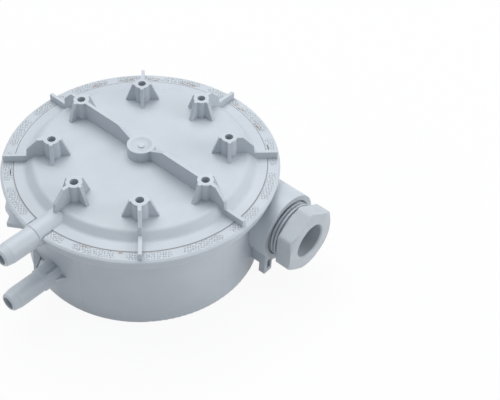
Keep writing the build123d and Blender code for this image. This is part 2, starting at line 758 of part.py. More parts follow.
def leg_and_tab(leg_x, top_z):
    """Upright leg out of the case's floor, and its screw tab along +Y under the case."""
    leg = block((leg_x, leg_x + strip_thickness), strip_y, (leg_low, top_z))
    middle = leg_x + strip_thickness / 2
    tab_x = (middle - tab_width / 2, middle + tab_width / 2)
    tab = block(tab_x, (strip_y[0], tab_y_end), (tab_z, tab_z + strip_thickness))
    screw_at = Pos(middle, tab_screw_y, 0)
    tab -= screw_at * disc(terminal_screw_radius + running_gap, tab_z - past, tab_z + 2)
    return leg + tab, screw_at


common_top = blade_z - pivot_height
pivot_xs = (pivot_x - pivot_width, pivot_x)
common_terminal, common_screw_at = leg_and_tab(common_leg_x, common_top)
common_terminal += block((pivot_xs[0], common_leg_x + strip_thickness), strip_y,
                         (common_top - strip_thickness, common_top))
common_terminal += block(pivot_xs, strip_y, (common_top - strip_thickness, blade_z - contact_gap))
closed_top = blade_top_z + contact_height + contact_gap
closed_terminal, closed_screw_at = leg_and_tab(closed_leg_x, closed_top + strip_thickness)
closed_terminal += block((blade_tip_x - blade_overrun, closed_leg_x + strip_thickness), strip_y,
                         (closed_top, closed_top + strip_thickness))
open_top = blade_z - contact_height - tip_travel - open_contact_gap
open_terminal, open_screw_at = leg_and_tab(open_leg_x, open_top)
open_terminal += block((open_leg_x, blade_tip_x + blade_overrun), strip_y,
                       (open_top - strip_thickness, open_top))
for leg_x in (common_leg_x, closed_leg_x, open_leg_x):
    switch_case -= block((leg_x, leg_x + strip_thickness), strip_y,
                         (case_z - past, case_z + switch_wall + 0.1))

# Carrier: upright plate behind the microswitch with a foot under each pillar.
switch_carrier = block((left_foot_x, right_foot_x), (carrier_y, switch_y), (foot_low_z, case_top_z - 0.6))
switch_carrier += block((switch_x - 0.5, switch_x_end + 0.5), (carrier_y, switch_y), (case_z, foot_z))
for xs in ((left_foot_x, switch_x - fit_gap), (switch_x_end + fit_gap, right_foot_x)):
    switch_carrier += block(xs, (carrier_y, carrier_y + carrier_foot_depth), (foot_low_z, foot_z))
for spot in pillar_spots:
    switch_carrier -= spot * disc(carrier_screw_radius + running_gap, foot_low_z - past, foot_z + past)
    switch_carrier -= spot * disc(pillar_radius + fit_gap, foot_z, partition_z)
for spot in case_holes:
    switch_carrier -= cross_hole(switch_screw_radius, spot, carrier_y - past, switch_y + past)


def pan_screw(shank_radius, head_radius, head_height, length):
    """Slotted pan head screw along +Z, its head below the origin."""
    head = turned([(0, -head_height), (head_radius * 0.72, -head_height), (head_radius, -head_height * 0.6),
                   (head_radius, 0), (0, 0)])
    head -= block((-head_radius, head_radius), (-slot_width / 2, slot_width / 2),
                  (-head_height - past, -head_height + slot_depth))
    return head + disc(shank_radius, -0.1, length)


terminal_screw = pan_screw(terminal_screw_radius, terminal_screw_head_radius, terminal_screw_head_height,
                           terminal_screw_length)
terminal_screws = Compound([Pos(0, 0, tab_z) * spot * terminal_screw
                            for spot in (common_screw_at, open_screw_at, closed_screw_at)])
switch_screw = pan_screw(switch_screw_radius, switch_screw_head_radius, switch_screw_head_height,
                         switch_width + carrier_thickness - 0.4)
switch_screws = Compound([Pos(spot[0], switch_y_end, spot[1]) * Rot(90, 0, 0) * switch_screw
                          for spot in case_holes])
carrier_screw = pan_screw(carrier_screw_radius, carrier_screw_head_radius, carrier_screw_head_height,
                          carrier_foot_thickness + carrier_screw_bite - 0.5)
carrier_screws = Compound([spot * Pos(0, 0, foot_low_z) * carrier_screw for spot in pillar_spots])

# Bottom cover: flush disc on a gasket, held by countersunk screws.
sink_depth = cover_screw_head_radius - cover_screw_radius
cover_hole_radius = cover_screw_radius + fit_gap
bottom_cover = disc(cover_radius, 0, cover_thickness)
sink = [(0, -past), (cover_screw_head_radius, -past), (cover_screw_head_radius, 0.1),
        (cover_hole_radius, sink_depth), (cover_hole_radius, cover_thickness + past),
        (0, cover_thickness + past)]
for spot in cover_spots:
    bottom_cover -= spot * turned(sink)
cover_gasket = ring(cover_seat_radius - gasket_inset, space_radius + gasket_inset, cover_thickness, ledge_z)
screw_sunk = turned([(0, 0), (cover_screw_head_radius - 0.1, 0), (cover_screw_radius, sink_depth - 0.1),
                     (cover_screw_radius, cover_thickness + cover_screw_bite - 0.5),
                     (0, cover_thickness + cover_screw_bite - 0.5)])
screw_sunk -= block((-cover_screw_head_radius, cover_screw_head_radius), (-slot_width / 2, slot_width / 2),
                    (-1, slot_depth))
cover_screws = Compound([spot * screw_sunk for spot in cover_spots])

# Cable gland: seal on the socket's shoulder, washer, hexagonal compression screw partly screwed in.
seal_end = gland_seat + gland_seal_length
washer_end = seal_end + gland_washer_thickness
hex_back = gland_end + gland_hex_standoff
hex_front = hex_back + gland_hex_length
gland_seal = gland_frame * (rod(gland_seal_radius, gland_seat, seal_end)
                            - rod(gland_seal_bore, gland_seat - past, seal_end + past))
gland_washer = gland_frame * (rod(gland_washer_radius, seal_end, washer_end)
                              - rod(gland_bore_radius, seal_end - past, washer_end + past))
hex_corner = gland_hex_across / sqrt(3)
hexagon = extrude(Plane.YZ * RegularPolygon(hex_corner, 6, rotation=30), gland_hex_length)
hexagon = Pos(hex_back, 0, 0) * hexagon
front_radius = gland_hex_across / 2 + gland_face_margin
front_cone = turned_rod([(hex_back, 0), (hex_back, hex_corner + 0.3),
                         (hex_front - gland_hex_chamfer, hex_corner + 0.1), (hex_front, front_radius),
                         (hex_front, 0)])
gland_body = (hexagon & front_cone) + rod(gland_thread_radius, washer_end, hex_back + 0.1)
gland_body -= rod(gland_bore_radius, washer_end - past, hex_front + past)
mouth_start = hex_front - gland_mouth_chamfer
mouth_radius = gland_bore_radius + gland_mouth_chamfer
gland_body -= turned_rod([(mouth_start, 0), (mouth_start, gland_bore_radius), (hex_front, mouth_radius),
                          (hex_front + past, mouth_radius), (hex_front + past, 0)])
gland_screw = gland_frame * gland_body

pieces = {
    "body": body, "lid": lid, "diaphragm": diaphragm, "upper_plate": upper_plate, "lower_plate": lower_plate,
    "centre_rivet": centre_rivet, "switch_pin": switch_pin, "pin_bush": pin_bush,
    "range_spring": range_spring, "spring_seat": spring_seat, "setting_dial": setting_dial,
    "dial_clip": dial_clip, "dial_o_ring": dial_o_ring, "switch_carrier": switch_carrier,
    "carrier_screws": carrier_screws, "switch_case": switch_case, "switch_cover": switch_cover,
    "switch_button": switch_button, "snap_blade": snap_blade, "common_terminal": common_terminal,
    "open_terminal": open_terminal, "closed_terminal": closed_terminal,
    "terminal_screws": terminal_screws, "switch_screws": switch_screws, "gland_screw": gland_screw,
    "gland_washer": gland_washer, "gland_seal": gland_seal, "bottom_cover": bottom_cover,
    "cover_gasket": cover_gasket, "cover_screws": cover_screws,
}
for name, piece in pieces.items():
    export_step(piece, f"parts/{name}.step")
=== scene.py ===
from math import ceil, cos, floor, pi, radians, sin, sqrt

import bmesh
import bpy
from mathutils import Matrix, Vector


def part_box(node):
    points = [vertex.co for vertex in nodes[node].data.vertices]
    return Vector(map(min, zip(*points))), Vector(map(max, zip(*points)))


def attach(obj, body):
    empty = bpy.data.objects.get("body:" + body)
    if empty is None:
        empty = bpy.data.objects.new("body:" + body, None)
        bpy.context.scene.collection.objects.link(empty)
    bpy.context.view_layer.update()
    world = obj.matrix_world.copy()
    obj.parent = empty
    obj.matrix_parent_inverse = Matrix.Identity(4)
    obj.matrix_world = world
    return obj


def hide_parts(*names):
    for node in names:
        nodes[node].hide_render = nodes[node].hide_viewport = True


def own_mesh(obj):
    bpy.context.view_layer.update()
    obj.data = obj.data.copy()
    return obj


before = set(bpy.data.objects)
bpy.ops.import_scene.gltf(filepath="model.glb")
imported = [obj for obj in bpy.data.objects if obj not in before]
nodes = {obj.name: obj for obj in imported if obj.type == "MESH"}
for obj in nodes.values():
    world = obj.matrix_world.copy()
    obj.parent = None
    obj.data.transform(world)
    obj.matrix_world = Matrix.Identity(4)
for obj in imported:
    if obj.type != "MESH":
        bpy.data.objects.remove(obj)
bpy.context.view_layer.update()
MM = 0.001

# Lower housing: one injection moulding in light blue-grey plastic. It is a cup with a flange band and a
# rolled rim that was hot-formed over the lid's edge, which left stippled pads round its top. The nipple,
# the gland socket with its square block, and the wall lug belong to the same moulding.
HOUSING_COLOUR = (0.520, 0.565, 0.612)
HOUSING_SHADE = (0.485, 0.530, 0.578)
CORNER_REACH = 1.2 * MM
EDGE_ROUND = 0.25 * MM
GRAIN_DEPTH = 0.03 * MM
FLOW_DEPTH = 0.08 * MM
CORNER_SHADE = 0.20
CORNER_SHADE_DARKENS = 0.4
EDGE_WEAR_AND_HIGHLIGHT = 0.8
WEAR_AND_HIGHLIGHT_LIGHTENS = 1.5
PAD_COUNT = 16
PAD_SHARE = 0.80
PAD_START = 0.34
PAD_MIDDLE = 45.55 * MM
PAD_HALF = 1.5 * MM
PAD_STIPPLE = 1150.0
STIPPLE_DISORDER = 0.45
PIT_GREY = (0.32, 0.345, 0.37)
PIT_SHARE = 0.62
TOOL_MARKS = (111, 98, 84, 68, 38, 22)
BURRS = (111.5, 97.5, 84.5, 67.5, 38.5, 21.5, -98.5, -113)
FAR_SQUARE = 10.0
OFF_MARK = 4.0
SCORCH_BROWN = (0.36, 0.25, 0.15)
SLITS = (6.5, -172.6)
SLIT_SHADE = (0.06, 0.06, 0.06)
WALL_PARTINGS = (-118.8, -50.5)
PARTING_EDGE = (0.002, 0.006)
PARTING_GREY = (0.25, 0.27, 0.30)
PARTING_SHARE = 0.10
MARK_DEPTH = 0.3 * MM
SEAM_RADIUS = 43.7 * MM
SEAM_REACH = 0.45 * MM
SEAM_SHADOW_AND_DIRT = (0.16, 0.153, 0.145)
SEAM_SHADOW_SHARE = 0.8
rim_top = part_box("body")[1][2]
rim_face = (rim_top - 0.8 * MM, rim_top - 0.2 * MM)
parting_end = (0.70 * rim_top, 0.74 * rim_top)


class Finish:
    """A material and its node tree, with short calls for the nodes that the finishes share."""

    def __init__(self, name):
        self.material = bpy.data.materials.new(name)
        self.material.use_nodes = True
        self.tree = self.material.node_tree
        self.surface = self.tree.nodes["Principled BSDF"]
        self.place = self.node("ShaderNodeTexCoord").outputs["Object"]
        self.tone = None
        self.normal = None

    def node(self, kind, **values):
        """New node with these settings."""
        made = self.tree.nodes.new(kind)
        for key, value in values.items():
            setattr(made, key, value)
        return made

    def join(self, value, socket):
        """Links a socket to another, or sets it to a number or colour."""
        if isinstance(value, bpy.types.NodeSocket):
            self.tree.links.new(value, socket)
        else:
            socket.default_value = value

    def noise(self, scale, detail=2.0, roughness=0.5, where=None):
        """Cloudy noise over the object, or over other coordinates."""
        made = self.node("ShaderNodeTexNoise")
        made.inputs["Scale"].default_value = scale
        made.inputs["Detail"].default_value = detail
        made.inputs["Roughness"].default_value = roughness
        self.join(where or self.place, made.inputs["Vector"])
        return made.outputs["Fac"]

    def spread(self, value, given, wanted):
        """Carries a value from one pair of limits to another, and holds it there past them."""
        made = self.node("ShaderNodeMapRange")
        for limit, before, after in (("Min", given[0], wanted[0]), ("Max", given[1], wanted[1])):
            made.inputs["From " + limit].default_value = before
            made.inputs["To " + limit].default_value = after
        self.join(value, made.inputs["Value"])
        return made.outputs["Result"]

    def maths(self, operation, first, second=0.0):
        """Result of one sum on two values."""
        made = self.node("ShaderNodeMath", operation=operation)
        self.join(first, made.inputs[0])
        self.join(second, made.inputs[1])
        return made.outputs["Value"]

    def plus(self, first, second):
        """First value plus the second."""
        return self.maths("ADD", first, second)

    def times(self, first, second):
        """First value times the second."""
        return self.maths("MULTIPLY", first, second)

    def apart(self, first, second):
        """How far two values lie apart."""
        return self.maths("ABSOLUTE", self.maths("SUBTRACT", first, second))

    def blend(self, share, first, second):
        """First colour with a share of the second over it."""
        made = self.node("ShaderNodeMix", data_type="RGBA")
        self.join(share, made.inputs["Factor"])
        # The two colours of a Mix node come after its pairs of numbers and of vectors.
        for colour, socket in ((first, made.inputs[6]), (second, made.inputs[7])):
            self.join(colour if isinstance(colour, bpy.types.NodeSocket) else (*colour, 1.0), socket)
        return made.outputs[2]

    def relief(self, height, depth, strength=1.0, under=None):
        """Normal of a surface with small heights in it, laid over another normal."""
        made = self.node("ShaderNodeBump")
        made.inputs["Strength"].default_value = strength
        made.inputs["Distance"].default_value = depth
        self.join(height, made.inputs["Height"])
        if under is not None:
            self.join(under, made.inputs["Normal"])
        return made.outputs["Normal"]

    def paint(self, tone):
        """Gives the surface a colour, and keeps it for marks that are laid over it."""
        self.tone = tone
        self.join(tone, self.surface.inputs["Base Color"])

    def stain(self, share, colour):
        """Lays a colour over what the surface has."""
        self.paint(self.blend(share, self.tone, colour))

    def emboss(self, normal):
        """Gives the surface a relief, and keeps it for marks that are sunk into it."""
        self.normal = normal
        self.join(normal, self.surface.inputs["Normal"])


def moulded_plastic(name, colour, shade, gloss=0.42):
    """Matt moulded plastic: cloudy tone, fine grain, painted shade in corners, and edges pale from wear and
    painted highlights.
    """
    finish = Finish(name)
    cloud = finish.spread(finish.noise(scale=60.0, detail=3.0), (0.35, 0.65), (0.0, 1.0))
    finish.paint(finish.blend(cloud, colour, shade))
    # Painted shade: the colour is darkened where the occlusion finds corners and creases.
    corners = finish.node("ShaderNodeAmbientOcclusion", samples=4)
    corners.inputs["Distance"].default_value = CORNER_REACH
    open_air = corners.outputs["AO"]
    tint_share = finish.spread(open_air, (0.35, 0.75), (CORNER_SHADE, 0.0))
    finish.stain(tint_share, tuple(part * CORNER_SHADE_DARKENS for part in colour))
    # Edge wear and painted highlight: convex edges in the open are lightened in the colour.
    rounded = finish.node("ShaderNodeBevel", samples=6)
    rounded.inputs["Radius"].default_value = EDGE_ROUND
    likeness = finish.node("ShaderNodeVectorMath", operation="DOT_PRODUCT")
    finish.join(rounded.outputs["Normal"], likeness.inputs[0])
    finish.join(finish.node("ShaderNodeNewGeometry").outputs["Normal"], likeness.inputs[1])
    edge = finish.spread(likeness.outputs["Value"], (0.86, 0.98), (1.0, 0.0))
    worn_and_highlit = finish.spread(open_air, (0.65, 0.85), (0.0, EDGE_WEAR_AND_HIGHLIGHT))
    finish.stain(finish.times(edge, worn_and_highlit), tuple(min(1.0, part * WEAR_AND_HIGHLIGHT_LIGHTENS) for part in colour))
    rub = finish.noise(scale=140.0, detail=4.0, roughness=0.6)
    sheen = finish.spread(rub, (0.3, 0.7), (gloss - 0.07, gloss + 0.09))
    finish.join(sheen, finish.surface.inputs["Roughness"])
    grain = finish.noise(scale=2600.0, detail=3.0, roughness=0.6)
    grain = finish.relief(grain, GRAIN_DEPTH, strength=0.5, under=rounded.outputs["Normal"])
    finish.emboss(finish.relief(finish.noise(scale=75.0), FLOW_DEPTH, strength=0.25, under=grain))
    return finish


def polar(finish):
    """Distance to the switch's axis, azimuth in radians, and level, as sockets."""
    parts = finish.node("ShaderNodeSeparateXYZ")
    finish.join(finish.place, parts.inputs[0])
    x, y, level = parts.outputs
    away = finish.maths("SQRT", finish.plus(finish.times(x, x), finish.times(y, y)))
    return away, finish.maths("ARCTAN2", y, x), level


def rim_pads(finish, away, azimuth, level):
    """1 on the hot-formed pads of the rim, 0 elsewhere: a row of rounded patches along the rim."""
    turn = finish.times(azimuth, PAD_COUNT / (2 * pi))
    part = finish.maths("FRACT", finish.plus(turn, PAD_COUNT + PAD_START))
    pitch = 2 * pi * PAD_MIDDLE / PAD_COUNT
    along = finish.times(finish.apart(part, 0.5), pitch)
    straight = pitch * PAD_SHARE / 2 - PAD_HALF
    past_end = finish.maths("MAXIMUM", finish.maths("SUBTRACT", along, straight), 0.0)
    across = finish.maths("SUBTRACT", away, PAD_MIDDLE)
    square = finish.plus(finish.times(past_end, past_end), finish.times(across, across))
    outline = (PAD_HALF - 0.2 * MM, PAD_HALF + 0.1 * MM)
    inside = finish.spread(finish.maths("SQRT", square), outline, (1.0, 0.0))
    return finish.times(inside, finish.spread(level, rim_face, (0.0, 1.0)))


def rim_marks(finish, away, azimuth, level, places, radius, half_length, half_width):
    """Distance from oblong marks at some azimuths in degrees: 0 in a mark's middle, 1 on its edge, and
    OFF_MARK or more below the rim's face."""
    nearest = FAR_SQUARE
    for place in places:
        turned_by = finish.maths("SUBTRACT", azimuth, radians(place))
        along = finish.times(turned_by, radius / half_length)
        across = finish.maths("DIVIDE", finish.maths("SUBTRACT", away, radius), half_width)
        square = finish.plus(finish.times(along, along), finish.times(across, across))
        nearest = finish.maths("MINIMUM", square, nearest)
    return finish.plus(finish.maths("SQRT", nearest), finish.spread(level, rim_face, (OFF_MARK, 0.0)))


def seam_shadow_and_dirt(finish, away, azimuth, level):
    """Share of painted shadow in the seam between lid and rim, strongest at the front, with a little dirt
    all round.
    """
    near = finish.spread(finish.apart(away, SEAM_RADIUS), (0.0, SEAM_REACH), (SEAM_SHADOW_SHARE, 0.0))
    front = finish.spread(finish.maths("SINE", azimuth), (0.1, -0.5), (0.1, 1.0))
    below = finish.spread(level, (rim_top + 0.1 * MM, rim_top + 0.3 * MM), (1.0, 0.0))
    above = finish.spread(level, (rim_top - 1.4 * MM, rim_top - 0.9 * MM), (0.0, 1.0))
    return finish.times(finish.times(near, front), finish.times(below, above))


def dress(material, *names):
    """Gives CAD nodes their finish."""
    for name in names:
        nodes[name].data.materials.clear()
        nodes[name].data.materials.append(material)


housing = moulded_plastic("housing_plastic", HOUSING_COLOUR, HOUSING_SHADE)
around = polar(housing)
azimuth, level = around[1:]
stipple = housing.node("ShaderNodeTexVoronoi", feature="F1", voronoi_dimensions="2D")
stipple.inputs["Scale"].default_value = PAD_STIPPLE
stipple.inputs["Randomness"].default_value = STIPPLE_DISORDER
housing.join(housing.place, stipple.inputs["Vector"])
pits = housing.spread(stipple.outputs["Distance"], (0.14, 0.32), (1.0, 0.0))
pits = housing.times(pits, rim_pads(housing, *around))

tool = rim_marks(housing, *around, TOOL_MARKS, radius=44.9 * MM, half_length=2.4 * MM, half_width=0.6 * MM)
burr = rim_marks(housing, *around, BURRS, radius=44.4 * MM, half_length=2.0 * MM, half_width=0.3 * MM)
slit = rim_marks(housing, *around, SLITS, radius=44.6 * MM, half_length=1.35 * MM, half_width=0.15 * MM)
tool_face = housing.spread(tool, (0.7, 1.1), (1.0, 0.0))
tool_edge = housing.spread(housing.apart(tool, 1.0), (0.05, 0.40), (0.75, 0.0))
slit_face = housing.spread(slit, (0.8, 1.3), (1.0, 0.0))
ragged = housing.spread(housing.noise(scale=700.0), (0.42, 0.58), (0.05, 1.0))
scorch = housing.maths("MAXIMUM", housing.spread(burr, (0.5, 1.2), (0.8, 0.0)), tool_edge)
scorch = housing.times(scorch, ragged)

parting = 0.0
for place in WALL_PARTINGS:
    line = housing.spread(housing.apart(azimuth, radians(place)), PARTING_EDGE, (1.0, 0.0))
    parting = housing.maths("MAXIMUM", line, parting)
parting = housing.times(parting, housing.spread(level, parting_end, (1.0, 0.0)))

housing.stain(housing.times(pits, PIT_SHARE), PIT_GREY)
housing.stain(scorch, SCORCH_BROWN)
# Painted shade: the narrow slits in the rim are painted near black.
housing.stain(slit_face, SLIT_SHADE)
housing.stain(housing.times(parting, PARTING_SHARE), PARTING_GREY)
# Painted shadow in the seam under the rim, mostly at the front, with a little dirt all round.
housing.stain(seam_shadow_and_dirt(housing, *around), SEAM_SHADOW_AND_DIRT)
sunk = housing.plus(pits, housing.plus(slit_face, scorch))
height = housing.maths("SUBTRACT", housing.plus(tool_face, 1.0), sunk)
housing.emboss(housing.relief(height, MARK_DEPTH, strength=0.8, under=housing.normal))
dress(housing.material, "body")

# Setting dial and spring seat: acetal mouldings at the foot of the spring's well. The dial's lead screw
# lifts the keyed seat; a sprung steel clip and a rubber ring hold and seal the dial in the housing.
RUBBER_GRAIN = 0.03 * MM
RUBBER_DUST_LIGHTENS = 1.8
RUBBER_DUST_GREY = 0.02
METAL_SCRATCH = 0.01 * MM
METAL_RUB_ALONG = (1.0, 0.15, 1.0)
METAL_DULLS = 0.84


def soft_rubber(name, colour):
    """Matt rubber with a fine grain and pale dust in its hollows."""
    finish = Finish(name)
    tint_share = finish.spread(finish.noise(scale=220.0, detail=4.0, roughness=0.6), (0.45, 0.7), (0.0, 0.5))
    pale = tuple(part * RUBBER_DUST_LIGHTENS + RUBBER_DUST_GREY for part in colour)
    finish.paint(finish.blend(tint_share, colour, pale))
    finish.join(finish.spread(tint_share, (0.0, 0.5), (0.62, 0.8)), finish.surface.inputs["Roughness"])
    finish.emboss(finish.relief(finish.noise(scale=1800.0), RUBBER_GRAIN, strength=0.5))
    return finish.material


def bare_metal(name, colour, rough=0.3, grain=900.0):
    """Stamped or plated metal: fine rubbed grain, small change of tone, a few duller places."""
    finish = Finish(name)
    finish.surface.inputs["Metallic"].default_value = 1.0
    stretch = finish.node("ShaderNodeMapping")
    stretch.inputs["Scale"].default_value = METAL_RUB_ALONG
    finish.join(finish.place, stretch.inputs["Vector"])
    rubbed = finish.noise(grain, detail=3.0, roughness=0.6, where=stretch.outputs["Vector"])
    dull = finish.spread(finish.noise(scale=170.0, detail=3.0), (0.3, 0.7), (0.0, 1.0))
    finish.paint(finish.blend(dull, colour, tuple(part * METAL_DULLS for part in colour)))
    sheen = finish.spread(rubbed, (0.3, 0.7), (rough - 0.06, rough + 0.12))
    finish.join(sheen, finish.surface.inputs["Roughness"])
    finish.emboss(finish.relief(rubbed, METAL_SCRATCH, strength=0.6))
    return finish.material


dial_acetal = moulded_plastic("dial_acetal", colour=(0.79, 0.77, 0.71), shade=(0.75, 0.73, 0.67), gloss=0.4)
spring_steel = bare_metal("spring_steel", colour=(0.56, 0.56, 0.57), rough=0.26, grain=1200.0)
black_rubber = soft_rubber("black_rubber", colour=(0.030, 0.030, 0.033))
dress(dial_acetal.material, "spring_seat", "setting_dial")
dress(spring_steel, "dial_clip")
dress(black_rubber, "dial_o_ring")

# Range spring: cold wound from spring steel wire with ground ends, standing on the keyed seat. It is built
# in two lengths, because the seat squeezes most of its coils from below, and the lower plate squeezes the
# last one from above.
WIRE_RADIUS = 0.45 * MM
WIRE_SIDES = 12
SPRING_TURNS = 6.0
LOWER_TURNS = 5.2
STEPS_A_TURN = 48
SHARP_EDGE = radians(32)
spring_low, spring_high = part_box("range_spring")
spring_foot, spring_top = spring_low[2], spring_high[2]
spring_radius = spring_high[0] - WIRE_RADIUS


def skin(name, rings, closed=True):
    """Mesh from rings of points; each ring joins the next, and the last joins the first when closed."""
    points = [point for one in rings for point in one]
    count = len(rings[0])
    faces = []
    for index in range(len(rings) if closed else len(rings) - 1):
        here = index * count
        after = (index + 1) % len(rings) * count
        for step in range(count):
            beside = (step + 1) % count
            faces.append((here + step, here + beside, after + beside, after + step))
    mesh = bpy.data.meshes.new(name)
    mesh.from_pydata(points, [], faces)
    mesh.validate()
    return mesh


def piece_from(mesh, material):
    """Object in the scene from a mesh, with smooth faces and sharp edges."""
    piece = bpy.data.objects.new(mesh.name, mesh)
    bpy.context.scene.collection.objects.link(piece)
    mesh.materials.append(material)
    mesh.shade_smooth()
    mesh.set_sharp_from_angle(angle=SHARP_EDGE)
    return piece


def coil_level(turned_by):
    """Level of the wire's middle after a number of turns."""
    rise = spring_top - spring_foot + WIRE_RADIUS
    return spring_foot - WIRE_RADIUS / 2 + rise * turned_by / SPRING_TURNS


def coil(name, first, last):
    """Length of the spring's wire between two numbers of turns, ground flat at the spring's two ends."""
    steps = round((last - first) * STEPS_A_TURN)
    sections = []
    for step in range(steps + 1):
        turned_by = first + (last - first) * step / steps
        angle = 2 * pi * turned_by
        section = []
        for side in range(WIRE_SIDES):
            around_wire = 2 * pi * side / WIRE_SIDES
            radius = spring_radius + WIRE_RADIUS * cos(around_wire)
            height = coil_level(turned_by) + WIRE_RADIUS * sin(around_wire)
            height = min(spring_top, max(spring_foot, height))
            section.append((radius * cos(angle), radius * sin(angle), height))
        sections.append(section)
    mesh = skin(name, sections, closed=False)
    shape = bmesh.new()
    shape.from_mesh(mesh)
    bmesh.ops.holes_fill(shape, edges=shape.edges[:])
    bmesh.ops.recalc_face_normals(shape, faces=shape.faces[:])
    shape.to_mesh(mesh)
    shape.free()
    return piece_from(mesh, spring_steel)


lower_coils = coil("range_spring_lower_coils", 0.0, LOWER_TURNS)
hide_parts("range_spring")
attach(lower_coils, "housing")
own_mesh(lower_coils)
top_coil = coil("range_spring_top_coil", LOWER_TURNS, SPRING_TURNS)
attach(top_coil, "housing")
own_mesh(top_coil)

# Microswitch: black glossy case with a flush cover, a red button, brass strips that end in screw tabs and a
# brass blade that rocks between its contacts. Two screws hold it to its carrier.
switch_shell = moulded_plastic("switch_shell", colour=(0.035, 0.035, 0.038), shade=(0.050, 0.050, 0.054),
                               gloss=0.28)
button_red = moulded_plastic("button_red", colour=(0.45, 0.05, 0.04), shade=(0.38, 0.04, 0.035), gloss=0.3)
contact_brass = bare_metal("contact_brass", colour=(0.76, 0.58, 0.28), rough=0.28, grain=1000.0)
dress(switch_shell.material, "switch_case", "switch_cover")
dress(button_red.material, "switch_button")
dress(contact_brass, "snap_blade", "common_terminal", "open_terminal", "closed_terminal")

# Carrier of the microswitch and all the small screws: a stamped aluminium bracket, screwed up under the
# partition, and zinc plated steel screws with slotted heads.
stamped_aluminium = bare_metal("stamped_aluminium", colour=(0.78, 0.79, 0.80), rough=0.34, grain=700.0)
zinc_steel = bare_metal("zinc_plated_steel", colour=(0.66, 0.67, 0.69))
dress(stamped_aluminium, "switch_carrier")
dress(zinc_steel, "carrier_screws", "switch_screws", "terminal_screws", "cover_screws")

# Switching pin and the bush that seals it: an acetal pin clipped under the lower plate, sliding in a
# rubber bush in the partition.
pin_acetal = moulded_plastic("pin_acetal", colour=(0.80, 0.79, 0.74), shade=(0.76, 0.75, 0.70), gloss=0.36)
dress(pin_acetal.material, "switch_pin")
dress(black_rubber, "pin_bush")

# Diaphragm and the plates that clamp it: a moulded brown silicone sheet with a bead and one roll, between
# two stamped aluminium discs that a turned rivet holds together. The flat web moves with the plates. The
# roll's inner half, which gives way in the real diaphragm, stays with the housing here, and its outer half
# stays with the bead between the lid and the housing.
RING_STEPS = 144
ROLL_STEPS = 8
RIVET_HOLE = 3.0 * MM
ROLL_MIDDLE = 33.35 * MM
ROLL_LEVEL = 31.8 * MM
ROLL_INSIDE = 1.25 * MM
ROLL_OUTSIDE = 1.75 * MM
BEAD_INNER = 37.75 * MM
BEAD_LOW = 31.2 * MM
web_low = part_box("lower_plate")[1][2]
web_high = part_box("upper_plate")[0][2]
bead_outer, bead_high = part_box("diaphragm")[1][0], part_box("diaphragm")[1][2]
ring_turns = [step * 2 * pi / RING_STEPS for step in range(RING_STEPS)]
diaphragm_silicone = soft_rubber("diaphragm_silicone", colour=(0.42, 0.20, 0.13))


def turned(name, outline):
    """Silicone piece turned about the switch's axis from a closed outline of radius and height."""
    rings = [[(radius * cos(turn), radius * sin(turn), height) for turn in ring_turns]
             for radius, height in outline]
    return piece_from(skin(name, rings), diaphragm_silicone)


def roll_arc(radius, first, last):
    """Points of the roll's section from one angle to another, in degrees."""
    angles = [radians(first + (last - first) * step / ROLL_STEPS) for step in range(ROLL_STEPS + 1)]
    return [(ROLL_MIDDLE + radius * cos(angle), ROLL_LEVEL + radius * sin(angle)) for angle in angles]


web_edge = ROLL_MIDDLE - ROLL_OUTSIDE
web = turned("diaphragm_web", [(RIVET_HOLE, web_low), (web_edge, web_low), (web_edge, web_high),
                               (RIVET_HOLE, web_high)])
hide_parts("diaphragm")
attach(web, "diaphragm_stack")

inner_outline = roll_arc(ROLL_OUTSIDE, 180, 270) + roll_arc(ROLL_INSIDE, 270, 180)
inner_outline += [(ROLL_MIDDLE - ROLL_INSIDE, web_high), (web_edge, web_high)]
inner_roll = turned("diaphragm_inner_roll", inner_outline)
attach(inner_roll, "housing")
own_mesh(inner_roll)

outer_outline = roll_arc(ROLL_OUTSIDE, 270, 350)
outer_outline += [(BEAD_INNER, web_low), (BEAD_INNER, BEAD_LOW), (bead_outer, BEAD_LOW),
                  (bead_outer, bead_high), (BEAD_INNER, bead_high), (BEAD_INNER, web_high),
                  (ROLL_MIDDLE + ROLL_INSIDE, web_high)]
outer_outline += roll_arc(ROLL_INSIDE, 360, 270)
outer_roll = turned("diaphragm_outer_roll", outer_outline)
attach(outer_roll, "housing")
dress(stamped_aluminium, "upper_plate", "lower_plate", "centre_rivet")

# Lid: one moulding of the same plastic. Its bevelled flange lies under the rolled rim, and its eight finned
# bosses, radial ribs, dished centre boss and upper nipple stand on a raised flat.
lid = moulded_plastic("lid_plastic", HOUSING_COLOUR, HOUSING_SHADE)
# Painted shadow in the seam under the rim, mostly at the front, with a little dirt all round.
lid.stain(seam_shadow_and_dirt(lid, *polar(lid)), SEAM_SHADOW_AND_DIRT)
dress(lid.material, "lid")

# Seal and pressure washer inside the gland's socket: a black rubber ring that the screw squeezes round the
# cable, and a zinc plated washer that keeps the turning screw from dragging it.
GLAND_SIDE = 22.8 * MM
GLAND_LEVEL = 20.6 * MM
SEAL_INNER_END = 38.5 * MM
SEAL_OUTER_END = 43.2 * MM
SEAL_RADIUS = 10.1 * MM
SEAL_BORE = 5.6 * MM
SEAL_ROUND = 0.3 * MM
gland_out = Vector((sqrt(0.5), -sqrt(0.5), 0.0))
gland_across = Vector((sqrt(0.5), sqrt(0.5), 0.0))
gland_origin = gland_across * GLAND_SIDE + Vector((0.0, 0.0, GLAND_LEVEL))


def gland_point(along, radius, turn):
    """Point at a distance out along the gland's axis, at a radius and an angle from the horizontal."""
    aside = gland_across * (radius * cos(turn)) + Vector((0, 0, radius * sin(turn)))
    return gland_origin + gland_out * along + aside


def gland_ring(along, radius):
    """Ring of points about the gland's axis."""
    return [gland_point(along, radius, turn) for turn in ring_turns]


